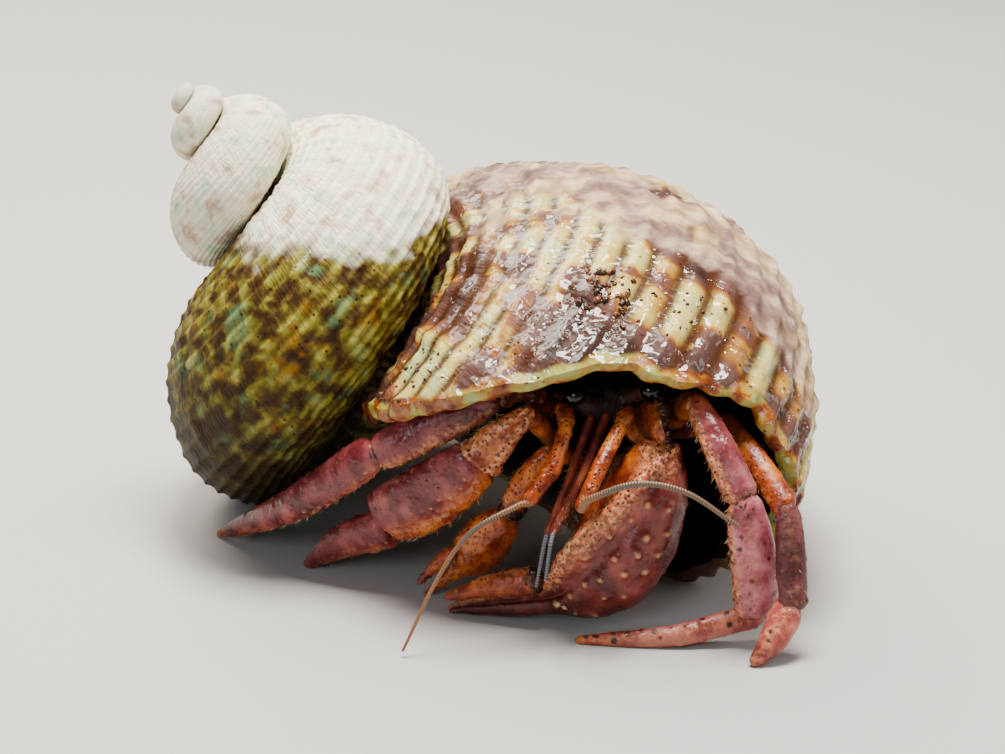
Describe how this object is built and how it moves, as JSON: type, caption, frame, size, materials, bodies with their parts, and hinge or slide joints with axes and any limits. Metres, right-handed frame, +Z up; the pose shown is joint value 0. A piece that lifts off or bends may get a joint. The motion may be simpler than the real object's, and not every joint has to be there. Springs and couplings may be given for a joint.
{
  "type": "hermit crab model",
  "caption": "Life-size still model of a land hermit crab in a ridged turban shell, with claws, walking legs, stalked eyes and bent antennae reaching out of the opening.",
  "frame": {"origin": "middle of the footprint, on the floor the animal stands on", "axes": "+Z up; -Y the way the animal faces out of its shell; +X towards its own left side. The shell lies behind and above it, with the spire rising to -X."},
  "size_m": [0.0492, 0.0514, 0.0348],
  "materials": {
    "shell": "worn mother-of-pearl shell, chalky where dry and glossy where wet",
    "plate": "satin",
    "claw": "satin",
    "leg": "satin",
    "feeler": "satin",
    "flagellum": "satin",
    "eye": "gloss",
    "soft_skin": "satin",
    "mouthparts": "satin",
    "setae": "matte"
  },
  "bodies": {
    "root": {"shell": "shell", "shield": "plate", "back": "soft_skin", "chest": "plate", "abdomen_front": "soft_skin", "abdomen_middle": "soft_skin", "abdomen_end": "soft_skin", "tail_fan": "plate", "eyestalk_right": "feeler", "eye_right": "eye", "eyestalk_left": "feeler", "eye_left": "eye", "antennule_right": "feeler", "antennule_tip_right": "flagellum", "antennule_left": "feeler", "antennule_tip_left": "flagellum", "antenna_base_right": "feeler", "antenna_shaft_right": "feeler", "antenna_whip_right": "flagellum", "antenna_base_left": "feeler", "antenna_shaft_left": "feeler", "antenna_whip_left": "flagellum", "maxilliped_right": "mouthparts", "maxilliped_left": "mouthparts", "claw_arm_left": "claw", "claw_wrist_left": "claw", "claw_hand_left": "claw", "claw_finger_left": "claw", "claw_arm_right": "claw", "claw_wrist_right": "claw", "claw_hand_right": "claw", "claw_finger_right": "claw", "leg2_left_merus": "leg", "leg2_left_carpus": "leg", "leg2_left_propodus": "leg", "leg2_left_dactyl": "leg", "leg3_left_merus": "leg", "leg3_left_carpus": "leg", "leg3_left_propodus": "leg", "leg3_left_dactyl": "leg", "leg2_right_merus": "leg", "leg2_right_carpus": "leg", "leg2_right_propodus": "leg", "leg2_right_dactyl": "leg", "leg3_right_merus": "leg", "leg3_right_carpus": "leg", "leg3_right_propodus": "leg", "leg3_right_dactyl": "leg", "leg4_right": "leg", "leg4_left": "leg", "leg5_right": "leg", "leg5_left": "leg"}
  },
  "joints": []
}
